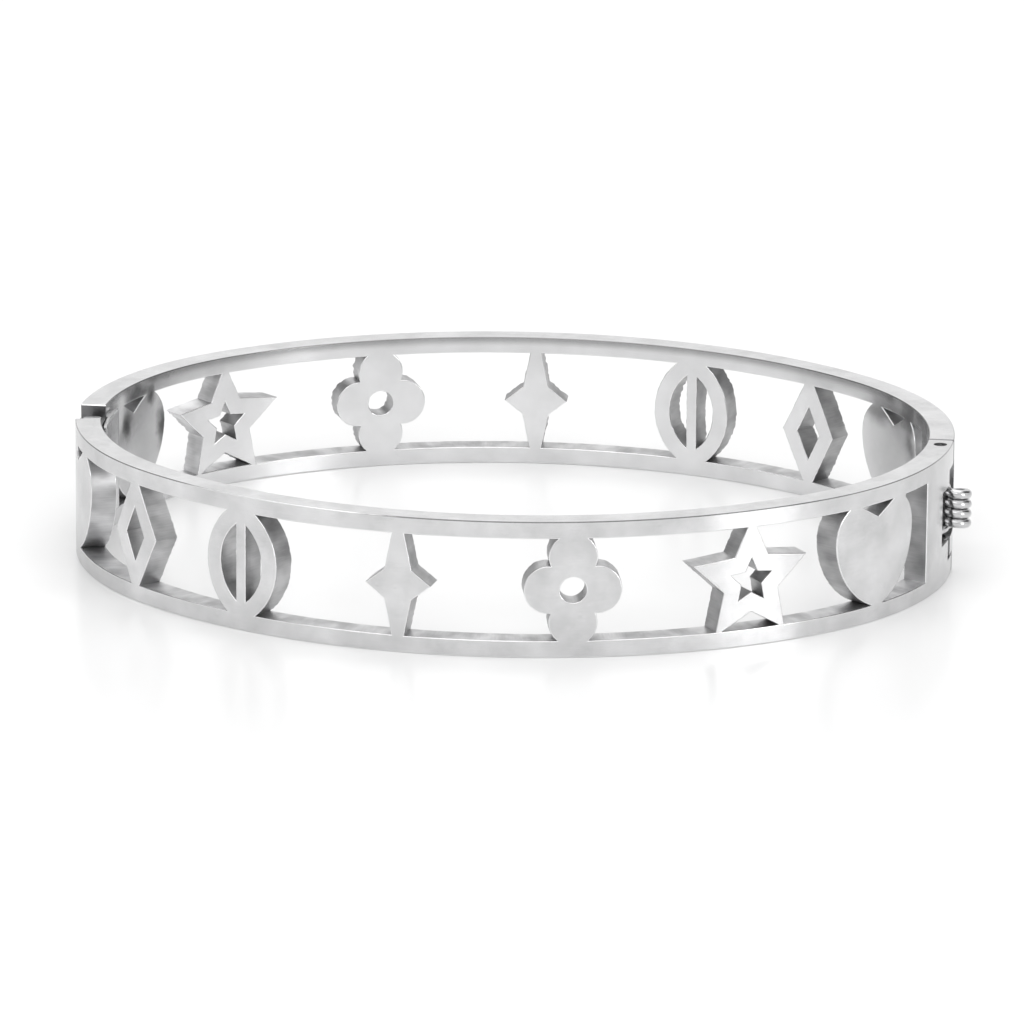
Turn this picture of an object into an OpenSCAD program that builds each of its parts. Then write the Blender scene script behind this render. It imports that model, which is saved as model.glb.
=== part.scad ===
// Hinged openwork bangle, lying on its edge as it rests by itself.
// Two cut steel halves meet at a sprung hinge (+X) and a tongue clasp (-X).
// The front half is at -Y and the back half at +Y. All sizes are in millimetres.
// The origin is on the surface that the bangle rests on, under the middle of its whole length.

/* [Oval] */
// Outside length of the oval, from the clasp to the hinge
oval_l = 65; // [64:0.5:67]
// Outside width of the oval, from front to back
oval_w = 54.8; // [53.6:0.2:55.6]
// Outside radius of the tighter arc at each end
end_r = 24; // [23:0.5:25]

/* [Band] */
// Height of the band
band_h = 10; // [9.8:0.1:11]
// Thickness of the band's wall
wall = 1.9; // [1.8:0.05:2.1]
// Height of the plain rail along each edge
rail_h = 1.25; // [1.1:0.05:1.4]
// Gap between the halves at the clasp and at the hinge
seam_gap = 0.12; // [0.1:0.01:0.16]

/* [Openwork] */
// Width of the solid heart at each end of a row
heart_w = 8.5; // [8:0.1:8.8]
// Width of the lozenge frame
lozenge_w = 5; // [4.4:0.1:5.4]
// Width of the leaf frame
leaf_w = 6.1; // [5.6:0.1:6.6]
// Width of the slim four-pointed star
slim_star_w = 4.8; // [4.2:0.1:5.4]
// Width of the quatrefoil
quatrefoil_w = 7; // [6.6:0.1:7.4]
// Radius of the five-pointed star, to its points
star_r = 4.75; // [4.5:0.05:4.9]
// Wall that is left round the hole in a frame
frame_stroke = 1.25; // [1.1:0.05:1.4]
// How far the front half's row is moved towards the hinge
front_shift = 0; // [-0.4:0.1:0.4]
// How far the back half's row is moved towards the clasp
back_shift = 0; // [-0.4:0.1:0.4]

/* [Hinge] */
// Distance of the pivot from the band's outer face
pivot_in = 0.9; // [0.85:0.05:1]
// Distance of the pivot from the seam, on the front half's side
pivot_back = 1.3; // [1.25:0.05:1.35]
// Diameter of the two pivot pins
pin_d = 0.95; // [0.8:0.05:1]
// Radius of the back half's knuckles round the pivot
knuckle_r = 0.95; // [0.9:0.01:0.96]
// Depth of a pin's end below the band's edge
pin_recess = 0.35; // [0.2:0.05:0.5]

/* [Spring] */
// Outside diameter of the coil
coil_d = 2.1; // [1.9:0.05:2.2]
// Diameter of the spring wire
wire_d = 0.7; // [0.6:0.02:0.72]
// Number of turns
coil_turns = 4; // [3:1:4]
// Distance of the coil's axis outside the band's outer face
coil_out = 0.3; // [0.25:0.05:0.4]

/* [Clasp] */
// Length of the notch in the top edge
notch_l = 4.1; // [3.8:0.1:4.3]
// Depth of the notch
notch_h = 0.95; // [0.8:0.05:1]
// Thickness of the tongue
tongue_t = 0.6; // [0.5:0.05:0.65]
// Length of the tongue past the seam
tongue_l = 3.8; // [3.4:0.1:3.9]
// Length of the guard leaf past the seam, inside the front half
guard_l = 3.4; // [3:0.1:3.8]
// Thickness of the guard leaf
guard_t = 0.3; // [0.25:0.05:0.4]

/* [Hidden] */
$fn = 96;
eps = 0.01;

// The oval is four arcs: a tight one at each end and a wide one along each side
end_x = oval_l / 2 - end_r;
side_rise = oval_w / 2 - end_r;
side_off = (end_x * end_x - side_rise * side_rise) / (2 * side_rise);
side_r = side_off + oval_w / 2;
side_turn = atan2(end_x, side_off);
side_run = side_r * side_turn * PI / 180;

// Longer than anything that it has to cut through
far = 60;

// A row of motifs: its name, and its places along the outer face from the middle of each half
NAME = 0;
FRONT = 1;
BACK = 2;
ROW = [
    ["heart", -39.6, -33.4],
    ["lozenge", -28.2, -22.6],
    ["leaf", -17.3, -11.4],
    ["slim star", -4.8, 1.7],
    ["quatrefoil", 7.75, 14.4],
    ["star", 21, 28.3],
    ["heart", 32.5, 39.9]
];

// The cut area of each half runs between two places along its outer face
front_cut = [-40.4, 39.25];
back_cut = [-39.7, 43.9];

// Hinge: the ears are the front half's, the knuckles between them the back half's
pivot = [oval_l / 2 - pivot_in, -pivot_back];
ear_top_z = band_h - 1.65;
ear_base_z = 1.45;
knuckle_gap = 0.1;
seat_r = knuckle_r + 0.12;
ear_corner_r = pivot_back + seam_gap - 0.03;
press_fit = 0.015;
running_fit = 0.05;
pocket_z = [3.05, 7.15];
pocket_depth = 1.3;
pocket_l = 4.4;
sweep_r = 2.35;
skin_t = 0.45;
recess_depth = 0.28;
recess_y = -2.25;

// Spring: its axis stands upright beside the pivot
coil_r = (coil_d - wire_d) / 2;
coil_pitch = wire_d + 0.03;
coil_axis = [oval_l / 2 + coil_out, pivot[1]];
coil_z = (pocket_z[0] + pocket_z[1]) / 2 + 0.13;
coil_steps = 16;
wire_sides = 8;
lower_leg = [-0.34, -2.75];
upper_leg = [0, 0.5];

// Clasp
tongue_x = -(oval_l / 2 - wall / 2) + 0.2;
tongue_gap = 0.12;
tongue_z = [3.05, 8.2];
root_l = 2;
tab_y = [-3.2, -1];
tab_w = 1.3;
tab_z = [band_h - notch_h + 0.1, band_h - notch_h + 0.4];
tab_corner = 0.35;
guard_gap = 0.15;
guard_z = [1.6, 9.2];
guard_pad_l = 2.6;

// The coil stands out past the band at the hinge end only
coil_reach = coil_out + coil_d / 2;
mid_x = coil_reach / 2;

function turn_at(s) =
    abs(s) <= side_run ? s / side_r * 180 / PI
    : sign(s) * (side_turn + (abs(s) - side_run) / end_r * 180 / PI);
function centre_at(s) = abs(s) <= side_run ? [0, side_off] : [sign(s) * end_x, 0];
function radius_at(s) = abs(s) <= side_run ? side_r : end_r;

// Everything is drawn round the oval's own centre and then moved to the part's origin
module placed() {
    translate([-mid_x, 0, 0]) children();
}

// A round wall of the given outer radius, standing at z[0]
module tube(radius, z, inside, outside) {
    translate([0, 0, z[0]])
    rotate([0, 0, 90])
    difference() {
        cylinder(r = radius + outside, h = z[1] - z[0]);
        translate([0, 0, -1]) cylinder(r = radius - inside, h = z[1] - z[0] + 2);
    }
}

// The sector that holds the front half's wide arc: its sides pass through the centres of the end arcs
module side_sector() {
    translate([0, 0, -1])
    linear_extrude(band_h + 2)
    polygon([[0, side_off], [6 * end_x, -5 * side_off], [-6 * end_x, -5 * side_off]]);
}

// The front half's wall between two heights, thickened inwards and outwards from its outer face
module front_wall(z, inside, outside) {
    intersection() {
        translate([0, side_off, 0]) tube(side_r, z, inside, outside);
        side_sector();
    }
    for (side = [-1, 1])
        difference() {
            intersection() {
                translate([side * end_x, 0, 0]) tube(end_r, z, inside, outside);
                translate([side < 0 ? -far : 0, -far, -1]) cube([far, far, band_h + 2]);
            }
            side_sector();
        }
}

// All that lies past a place on an end arc
module past(s) {
    translate([centre_at(s)[0], centre_at(s)[1], -1])
    rotate([0, 0, turn_at(s) - 90])
    translate([0, s < 0 ? -far : 0, 0])
    cube([far, far, band_h + 2]);
}

// Sets a flat shape upright on the outer face at a place: x along the band, y up, z outward
module at_place(s) {
    translate([centre_at(s)[0], centre_at(s)[1], band_h / 2])
    rotate([0, 0, turn_at(s)])
    translate([0, -radius_at(s), 0])
    rotate([90, 0, 0])
    children();
}

// A pointed oval between two arcs, as wide as w and as tall as h
module pointed_oval(w, h) {
    r = (w * w + h * h) / (4 * w);
    intersection() {
        translate([r - w / 2, 0]) circle(r);
        translate([w / 2 - r, 0]) circle(r);
    }
}

// Two round lobes over a pointed body, with a shallow cleft under the top rail
module heart() {
    lobe_r = 2.75 * heart_w / 8.5;
    widest_y = 1.5;
    toe_w = 1.26;
    reach = (heart_w - toe_w) / 2;
    drop = band_h / 2 - rail_h + widest_y;
    body_r = (reach * reach + drop * drop) / (2 * reach);
    difference() {
        union() {
            for (side = [-1, 1])
                translate([side * (heart_w / 2 - lobe_r), widest_y]) circle(lobe_r);
            intersection() {
                translate([heart_w / 2 - body_r, widest_y]) circle(body_r);
                translate([body_r - heart_w / 2, widest_y]) circle(body_r);
                translate([-heart_w / 2, -band_h / 2]) square([heart_w, band_h / 2 + widest_y]);
            }
        }
        polygon([[0, 2.8], [2.2, 4], [-2.2, 4]]);
    }
}

module lozenge() {
    half_h = 4.7;
    slope = sqrt(lozenge_w * lozenge_w / 4 + half_h * half_h);
    k = 1 - frame_stroke * slope / (lozenge_w / 2 * half_h);
    difference() {
        polygon([[-lozenge_w / 2, 0], [0, -half_h], [lozenge_w / 2, 0], [0, half_h]]);
        polygon([[-lozenge_w / 2 * k, 0], [0, -half_h * k], [lozenge_w / 2 * k, 0], [0, half_h * k]]);
    }
}

// A leaf frame with a rib up its middle
module leaf() {
    leaf_h = 9;
    rib_w = 0.85;
    edge_r = (leaf_w * leaf_w + leaf_h * leaf_h) / (4 * leaf_w);
    hole_r = edge_r - frame_stroke;
    difference() {
        pointed_oval(leaf_w, leaf_h);
        difference() {
            intersection() {
                translate([edge_r - leaf_w / 2, 0]) circle(hole_r);
                translate([leaf_w / 2 - edge_r, 0]) circle(hole_r);
            }
            translate([-rib_w / 2, -leaf_h / 2]) square([rib_w, leaf_h]);
        }
    }
}

module slim_star() {
    half_h = 6;
    waist = [1, 1.1];
    polygon([
        for (q = [[1, 1], [-1, 1], [-1, -1], [1, -1]])
            each q[0] * q[1] > 0
                ? [[q[0] * slim_star_w / 2, 0], [q[0] * waist[0], q[1] * waist[1]]]
                : [[0, -q[0] * half_h], [q[0] * waist[0], q[1] * waist[1]]]
    ]);
}

module quatrefoil() {
    lobe_r = quatrefoil_w / 4;
    lobe_up = 2.4;
    difference() {
        union() {
            for (side = [-1, 1]) {
                translate([side * (quatrefoil_w / 2 - lobe_r), 0]) circle(lobe_r);
                translate([0, side * lobe_up]) circle(lobe_r);
            }
            circle(lobe_r);
        }
        circle(0.95);
    }
}

function star_points(r) = [
    for (i = [0:9])
        (i % 2 == 0 ? r : r * 0.48) * [cos(90 + 36 * i), sin(90 + 36 * i)]
];

module star() {
    translate([0, -0.2])
    difference() {
        polygon(star_points(star_r));
        polygon(star_points(star_r * 0.36));
    }
}

module motif(name) {
    if (name == "heart") heart();
    if (name == "lozenge") lozenge();
    if (name == "leaf") leaf();
    if (name == "slim star") slim_star();
    if (name == "quatrefoil") quatrefoil();
    if (name == "star") star();
}

// What is cut out of a half between its rails: the whole strip, less the motifs
module openwork(cut, half, shift) {
    difference() {
        front_wall([rail_h, band_h - rail_h], wall + 1, 1);
        past(cut[0]);
        past(cut[1]);
        for (item = ROW)
            at_place(item[half] + shift)
            translate([0, 0, -wall - 2])
            linear_extrude(wall + 4)
            motif(item[NAME]);
    }
}

module at_pivot(z) {
    translate([pivot[0], pivot[1], z]) children();
}

// Rounds the outer corner of the ears, so that the back half's end swings past it
module ear_corner() {
    difference() {
        at_pivot(-1) cube([3, 3, band_h + 2]);
        at_pivot(-2) cylinder(r = ear_corner_r, h = band_h + 4);
    }
}

// The gap between the ears that takes the knuckles
module knuckle_seat() {
    seat_h = ear_top_z - ear_base_z;
    at_pivot(ear_base_z) cylinder(r = seat_r, h = seat_h);
    at_pivot(ear_base_z) translate([-3, 0, 0]) cube([6, pivot_back + 1, seat_h]);
}

// Pocket in the front half's outer face for the coil and its lower leg
module spring_pocket() {
    translate([oval_l / 2 - pocket_depth, -pocket_l, pocket_z[0]])
    cube([4, pocket_l - pivot_back + eps, pocket_z[1] - pocket_z[0]]);
}

// Shallow step in the outer face above and below the coil, where the knuckles lie back in shadow
module hinge_recess() {
    translate([oval_l / 2 - recess_depth, recess_y, pocket_z[1] - 0.2])
    cube([2, 1 - recess_y, ear_top_z - pocket_z[1] + 0.2]);
    translate([oval_l / 2 - recess_depth, recess_y, ear_base_z])
    cube([2, pivot[1] - recess_y, pocket_z[0] + 0.2 - ear_base_z]);
}

module front_half() {
    color("gainsboro")
    placed()
    difference() {
        front_wall([0, band_h], wall, 0);
        openwork(front_cut, FRONT, front_shift);
        ear_corner();
        knuckle_seat();
        spring_pocket();
        hinge_recess();
        at_pivot(-1) cylinder(d = pin_d + 2 * press_fit, h = band_h + 2);
        translate([-oval_l / 2 - 1, -notch_l, band_h - notch_h]) cube([4, notch_l + 1, notch_h + 1]);
        translate([tongue_x - tongue_t / 2 - tongue_gap, -tongue_l - 0.2, tongue_z[0] - 0.15])
        cube([tongue_t + 2 * tongue_gap, tongue_l + 1, band_h - tongue_z[0]]);
    }
}

// Knuckles: one post between the ears, within the wall's thickness, that the coil's room divides
module knuckles() {
    post_z = [ear_base_z + knuckle_gap, ear_top_z - knuckle_gap];
    post_h = post_z[1] - post_z[0];
    intersection() {
        translate([end_x, 0, 0]) tube(end_r, post_z, wall, 0);
        union() {
            at_pivot(post_z[0]) cylinder(r = knuckle_r, h = post_h);
            at_pivot(post_z[0]) translate([-3, 0, 0]) cube([6, pivot_back + seam_gap, post_h]);
        }
    }
}

// Room for the coil at every angle of the hinge, behind a thin skin on the inside
module spring_room() {
    difference() {
        at_pivot(pocket_z[0]) cylinder(r = sweep_r, h = pocket_z[1] - pocket_z[0]);
        translate([pivot[0] - 5 - (wall - pivot_in) + skin_t, -5, 0]) cube([5, 10, band_h]);
    }
}

// Thin leaf on the inside of the back half that covers the seam at the clasp
module guard_leaf() {
    leaf_r = end_r - wall - guard_gap;
    pad_z = guard_z + [0.1, -0.1];
    translate([-end_x, 0, 0]) {
        intersection() {
            tube(leaf_r, guard_z, guard_t, 0);
            translate([-far, -guard_l, 0]) cube([far, guard_l + guard_pad_l, band_h]);
        }
        intersection() {
            tube(leaf_r, pad_z, guard_t / 2, guard_gap + 0.3);
            translate([-far, seam_gap + 0.1, 0]) cube([far, guard_pad_l - seam_gap - 0.3, band_h]);
        }
    }
}

module back_half() {
    color("lightgray")
    placed()
    difference() {
        union() {
            rotate([0, 0, 180])
            difference() {
                front_wall([0, band_h], wall, 0);
                openwork(back_cut, BACK, back_shift);
                translate([-oval_l, -seam_gap, -1]) cube([2 * oval_l, oval_w, band_h + 2]);
            }
            knuckles();
            guard_leaf();
        }
        spring_room();
        hinge_recess();
        at_pivot(ear_base_z) cylinder(d = pin_d + 2 * running_fit, h = ear_top_z - ear_base_z);
        translate([tongue_x - tongue_t / 2 - press_fit, 0, tongue_z[0] - press_fit])
        cube([tongue_t + 2 * press_fit, root_l + seam_gap, tongue_z[1] - tongue_z[0] + 2 * press_fit]);
    }
}

module pivot_pin_top() {
    color("silver")
    placed()
    at_pivot(pocket_z[1] + 0.05)
    cylinder(d = pin_d, h = band_h - pin_recess - pocket_z[1] - 0.05);
}

module pivot_pin_base() {
    color("silver")
    placed()
    at_pivot(pin_recess)
    cylinder(d = pin_d, h = pocket_z[0] - 0.05 - pin_recess);
}

// Middle line of the spring wire: a straight lower leg, the turns, and a short upper leg
coil_line = concat(
    [[-coil_r + lower_leg[0], lower_leg[1], -coil_pitch * coil_turns / 2]],
    [
        for (i = [0:coil_turns * coil_steps])
            let (a = 180 - 360 * i / coil_steps, t = i / coil_steps - coil_turns / 2)
            [coil_r * cos(a), coil_r * sin(a), coil_pitch * t]
    ],
    [[-coil_r + upper_leg[0], upper_leg[1], coil_pitch * coil_turns / 2]]
);

function unit(v) = v / norm(v);
function along(line, i) = unit(line[min(i + 1, len(line) - 1)] - line[max(i - 1, 0)]);
function ring(line, i) =
    let (
        t = along(line, i),
        across = unit(cross(t, [0, 0, 1])),
        up = cross(across, t)
    )
    [
        for (j = [0:wire_sides - 1])
            let (a = 360 * j / wire_sides)
            line[i] + wire_d / 2 * (cos(a) * across + sin(a) * up)
    ];

module hinge_spring() {
    rings = len(coil_line);
    n = wire_sides;
    color("darkgray")
    placed()
    translate([coil_axis[0], coil_axis[1], coil_z])
    polyhedron(
        points = [for (i = [0:rings - 1]) each ring(coil_line, i)],
        faces = concat(
            [[for (j = [n - 1:-1:0]) j]],
            [
                for (i = [0:rings - 2], j = [0:n - 1])
                    let (a = i * n + j, b = i * n + (j + 1) % n)
                    each [[a, b, b + n], [a, b + n, a + n]]
            ],
            [[for (j = [0:n - 1]) (rings - 1) * n + j]]
        )
    );
}

// A leaf fixed in the back half's end, with a thumb tab that lies in the front half's notch
module clasp_tongue() {
    color("darkgray")
    placed()
    translate([tongue_x, 0, 0]) {
        translate([-tongue_t / 2, -tongue_l, tongue_z[0]])
        cube([tongue_t, tongue_l + root_l + seam_gap - press_fit, tongue_z[1] - tongue_z[0]]);
        translate([-tongue_t / 2, tab_y[0] + 0.3, tongue_z[1] - eps])
        cube([tongue_t, tab_y[1] - tab_y[0] - 0.6, tab_z[0] - tongue_z[1] + 2 * eps]);
        thumb_tab();
    }
}

module thumb_tab() {
    tab_l = tab_y[1] - tab_y[0];
    translate([0, 0, tab_z[0]])
    linear_extrude(tab_z[1] - tab_z[0])
    union() {
        translate([-tab_w / 2 + tab_corner, tab_y[0]]) square([tab_w - 2 * tab_corner, tab_l]);
        translate([-tab_w / 2, tab_y[0] + tab_corner]) square([tab_w, tab_l - 2 * tab_corner]);
        for (x = [-1, 1], y = [tab_y[0] + tab_corner, tab_y[1] - tab_corner])
            translate([x * (tab_w / 2 - tab_corner), y]) circle(tab_corner);
    }
}

front_half();
back_half();
pivot_pin_top();
pivot_pin_base();
hinge_spring();
clasp_tongue();
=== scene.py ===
import math

import bpy
import numpy as np
from mathutils import Matrix, Vector, noise
from mathutils.geometry import delaunay_2d_cdt


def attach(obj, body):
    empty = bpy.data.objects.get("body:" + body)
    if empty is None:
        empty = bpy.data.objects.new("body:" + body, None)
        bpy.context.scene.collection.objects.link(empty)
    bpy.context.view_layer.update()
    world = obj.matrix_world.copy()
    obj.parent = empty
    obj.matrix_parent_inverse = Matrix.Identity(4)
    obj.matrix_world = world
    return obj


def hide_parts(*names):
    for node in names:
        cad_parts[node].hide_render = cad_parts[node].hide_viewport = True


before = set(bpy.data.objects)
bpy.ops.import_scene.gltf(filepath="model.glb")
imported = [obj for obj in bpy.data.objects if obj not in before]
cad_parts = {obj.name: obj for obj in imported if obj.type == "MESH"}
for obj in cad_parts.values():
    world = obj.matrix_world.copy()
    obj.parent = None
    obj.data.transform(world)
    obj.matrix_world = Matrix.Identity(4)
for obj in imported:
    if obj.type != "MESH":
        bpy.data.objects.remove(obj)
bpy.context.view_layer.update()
print("frame loaded")

mm = 0.001

# The oval band, in millimetres. s is the distance along a half's outer face from its middle.
band = {
    "length": 65.0,
    "width": 54.8,
    "endRadius": 24.0,
    "height": 10.0,
    "wall": 1.9,
    "rail": 1.25,
    "seam": 0.12,
    "moveX": -0.675,      # puts the middle of the whole length over the origin
    "bevel": 0.075,       # rounding of every cut edge
    "loopStep": 0.13,     # spacing of points along a cut
    "gridStep": 0.42,     # spacing of points across the faces
    "cornerTurn": 24,     # degrees: a sharper turn stays a corner
    "cornerRoom": 1.1,    # bare edge beside a sharp corner, in bevels
    "shortest": 0.01,     # shorter bits of an outline are dropped
}
endX = band["length"] / 2 - band["endRadius"]
sideRise = band["width"] / 2 - band["endRadius"]
sideOff = (endX ** 2 - sideRise ** 2) / (2 * sideRise)
sideR = sideOff + band["width"] / 2
sideTurn = math.atan2(endX, sideOff)
sideRun = sideR * sideTurn
halfRun = sideRun + band["endRadius"] * (math.pi / 2 - sideTurn)
midZ = band["height"] / 2


def arcAt(s):                 # the centre and radius of the arc at s, and its turn from the middle
    if abs(s) <= sideRun:
        return 0.0, sideOff, sideR, s / sideR
    sign = 1 if s > 0 else -1
    turn = sign * (sideTurn + (abs(s) - sideRun) / band["endRadius"])
    return sign * endX, 0.0, band["endRadius"], turn


def wallPoint(s, depth=0.0):
    cx, cy, r, turn = arcAt(s)
    return cx + (r - depth) * math.sin(turn), cy - (r - depth) * math.cos(turn)


# The flat motifs. Each gives its curves, a test of what is metal and half its width,
# in u along the band and v up from mid-height.

motifLook = {
    "heart": {"width": 8.5, "lobe": 2.75, "widest": 1.5, "toe": 1.26, "flank": 1.33,
              "cleft": (2.2, 2.8, 4.0)},      # half width, foot and top
    "lozenge": {"width": 5.0, "halfH": 4.7, "stroke": 1.25},
    "leaf": {"width": 6.1, "height": 9.0, "stroke": 1.25, "rib": 0.85},
    "slimStar": {"width": 4.8, "halfH": 6.0, "waist": (1.0, 1.1)},
    "quatrefoil": {"width": 7.0, "up": 2.4, "hole": 0.95},
    "star": {"r": 4.75, "inner": 0.48, "hole": 0.36, "down": -0.2, "reach": 4.52},
}


def ringOf(cx, cy, r, start=0.0, stop=2 * math.pi, step=0.11, least=10):
    n = max(least, int(abs(stop - start) * r / step))
    turns = [start + (stop - start) * i / n for i in range(n + 1)]
    return [(cx + r * math.cos(turn), cy + r * math.sin(turn)) for turn in turns]


def roundPlan(cx, cy, r, n=64):
    turns = [2 * math.pi * i / n for i in range(n)]
    return [(cx + r * math.cos(turn), cy + r * math.sin(turn)) for turn in turns]


def boxPlan(x0, x1, y0, y1):
    return [(x0, y0), (x1, y0), (x1, y1), (x0, y1)]


def closed(points):
    return list(points) + [points[0]]


def inCircle(u, v, cx, cy, r):
    return (u - cx) ** 2 + (v - cy) ** 2 < r * r


def inPolygon(u, v, points):
    inside = False
    for (x1, y1), (x2, y2) in zip(points, points[1:] + points[:1]):
        if (y1 > v) != (y2 > v) and u < x1 + (v - y1) * (x2 - x1) / (y2 - y1):
            inside = not inside
    return inside


def frameOf(outer, inner, reach):         # a frame between two outlines
    def metal(u, v):
        return inPolygon(u, v, outer) and not inPolygon(u, v, inner)
    return [closed(outer), closed(inner)], metal, reach


def heartMotif(width, lobe, widest, toe, flank, cleft):
    w = width / 2
    reach, drop = w - toe / 2, midZ - band["rail"] + widest
    body = (reach ** 2 + drop ** 2) / (2 * reach)
    cleftHalf, cleftFoot, cleftTop = cleft
    notch = [(0, cleftFoot), (cleftHalf, cleftTop), (-cleftHalf, cleftTop)]
    curves = [ringOf(w - lobe, widest, lobe), ringOf(lobe - w, widest, lobe),
              ringOf(w - body, widest, body, -flank, 0.0),
              ringOf(body - w, widest, body, math.pi, math.pi + flank), closed(notch)]

    def metal(u, v):
        if inPolygon(u, v, notch):
            return False
        if inCircle(u, v, w - lobe, widest, lobe) or inCircle(u, v, lobe - w, widest, lobe):
            return True
        flanks = inCircle(u, v, w - body, widest, body) and inCircle(u, v, body - w, widest, body)
        return v <= widest and flanks
    return curves, metal, w


def lozengeMotif(width, halfH, stroke):
    w = width / 2
    k = 1 - stroke * math.hypot(w, halfH) / (w * halfH)
    outer = [(-w, 0), (0, -halfH), (w, 0), (0, halfH)]
    inner = [(x * k, y * k) for x, y in outer]
    return frameOf(outer, inner, w)


def leafMotif(width, height, stroke, rib):
    r = (width ** 2 + height ** 2) / (4 * width)
    c = r - width / 2
    tip = math.asin(height / 2 / r)
    holeR = r - stroke
    tipIn = math.acos(c / holeR)
    ribSides = [[(x, -height / 2), (x, height / 2)] for x in (-rib / 2, rib / 2)]
    curves = [ringOf(c, 0, r, math.pi - tip, math.pi + tip), ringOf(-c, 0, r, -tip, tip),
              ringOf(c, 0, holeR, math.pi - tipIn, math.pi + tipIn), ringOf(-c, 0, holeR, -tipIn, tipIn)]

    def metal(u, v):
        if not (inCircle(u, v, c, 0, r) and inCircle(u, v, -c, 0, r)):
            return False
        hole = inCircle(u, v, c, 0, holeR) and inCircle(u, v, -c, 0, holeR)
        return not hole or abs(u) < rib / 2
    return curves + ribSides, metal, width / 2


def slimStarMotif(width, halfH, waist):
    a, b = waist
    w = width / 2
    points = [(w, 0), (a, b), (0, halfH), (-a, b), (-w, 0), (-a, -b), (0, -halfH), (a, -b)]
    return [closed(points)], lambda u, v: inPolygon(u, v, points), w


def quatrefoilMotif(width, up, hole):
    r = width / 4
    centres = [(width / 2 - r, 0), (r - width / 2, 0), (0, up), (0, -up), (0, 0)]
    curves = [ringOf(cx, cy, r) for cx, cy in centres] + [ringOf(0, 0, hole, step=0.09)]

    def metal(u, v):
        return any(inCircle(u, v, cx, cy, r) for cx, cy in centres) and not inCircle(u, v, 0, 0, hole)
    return curves, metal, width / 2


def starMotif(r, inner, hole, down, reach):
    def points(size):
        radii = [r * size, r * inner * size] * 5
        turns = [math.radians(90 + 36 * i) for i in range(10)]
        return [(far * math.cos(turn), far * math.sin(turn) + down) for far, turn in zip(radii, turns)]
    return frameOf(points(1), points(hole), reach)


motifMakers = {"heart": heartMotif, "lozenge": lozengeMotif, "leaf": leafMotif, "slimStar": slimStarMotif,
               "quatrefoil": quatrefoilMotif, "star": starMotif}
motifs = {name: motifMakers[name](**look) for name, look in motifLook.items()}


def uToS(u, centre):
    r = arcAt(centre)[2]
    return centre + r * math.asin(u / r)


def sToU(s, centre):
    r = arcAt(centre)[2]
    return r * math.sin((s - centre) / r)


def throughShift(s, centre):  # the cut runs straight in, parallel to the motif's own normal
    r = arcAt(centre)[2]
    return centre + r * math.asin(sToU(s, centre) / (r - band["wall"])) - s


# The outline of a half, laid flat: s to the right and z up

def areaOf(loop):
    return sum(a[0] * b[1] - b[0] * a[1] for a, b in zip(loop, loop[1:] + loop[:1])) / 2


def headingOf(a, b):
    return math.atan2(b[1] - a[1], b[0] - a[0])


def cutCorners(outline, sizes):     # a small chamfer on some corners of an outline
    out = []
    for i, p in enumerate(outline):
        if i not in sizes:
            out.append(p)
            continue
        for q in (outline[i - 1], outline[(i + 1) % len(outline)]):
            far = math.dist(p, q)
            out.append((p[0] + (q[0] - p[0]) * sizes[i] / far, p[1] + (q[1] - p[1]) * sizes[i] / far))
    return out


def flatLoops(outline, cut, places, reachMargin=0.4, leastArea=0.02, weld=1e-5):
    verts, edges = [], []

    def addLine(points):
        base = len(verts)
        verts.extend(Vector(p) for p in points)
        edges.extend((base + i, base + i + 1) for i in range(len(points) - 1))

    def dense(points, step=0.5):
        out = []
        for a, b in zip(points, points[1:]):
            n = max(1, int(math.dist(a, b) / step))
            out += [(a[0] + (b[0] - a[0]) * i / n, a[1] + (b[1] - a[1]) * i / n) for i in range(n)]
        return out + [points[-1]]

    rail, top = band["rail"], band["height"] - band["rail"]
    addLine(dense(closed(outline)))
    addLine(dense(closed(boxPlan(*cut, rail, top))))
    for name, centre in places:
        for curve in motifs[name][0]:
            addLine([(uToS(u, centre), v + midZ) for u, v in curve])
    outVerts, _, faces, _, _, _ = delaunay_2d_cdt(verts, edges, [], 0, weld, False)
    pts = [(v.x, v.y) for v in outVerts]

    def metal(s, z):
        if not inPolygon(s, z, outline):
            return False
        if not (cut[0] < s < cut[1] and rail < z < top):
            return True
        for name, centre in places:
            _, test, reach = motifs[name]
            if abs(s - centre) < reach + reachMargin and test(sToU(s, centre), z - midZ):
                return True
        return False

    border = {}               # edges that only one face of metal has
    for a, b, c in faces:
        (x1, y1), (x2, y2), (x3, y3) = pts[a], pts[b], pts[c]
        if not metal((x1 + x2 + x3) / 3, (y1 + y2 + y3) / 3):
            continue
        if (x2 - x1) * (y3 - y1) - (x3 - x1) * (y2 - y1) < 0:
            b, c = c, b
        for start, stop in ((a, b), (b, c), (c, a)):
            if (stop, start) in border:
                del border[(stop, start)]
            else:
                border[(start, stop)] = True
    following = {}
    for a, b in border:
        following.setdefault(a, []).append(b)
    loops = []
    while following:
        start = next(iter(following))
        loop, here = [start], following[start].pop()
        while here != start:
            loop.append(here)
            options = following[here]
            if len(options) > 1:      # two cuts touch here: take the sharpest turn to the left
                ahead = headingOf(pts[loop[-2]], pts[here])
                options.sort(key=lambda q: (headingOf(pts[here], pts[q]) - ahead + math.pi) % (2 * math.pi))
            here = options.pop()
        following = {k: v for k, v in following.items() if v}
        loops.append([pts[i] for i in loop])
    return [tidyLoop(loop) for loop in loops if abs(areaOf(loop)) > leastArea]


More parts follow.
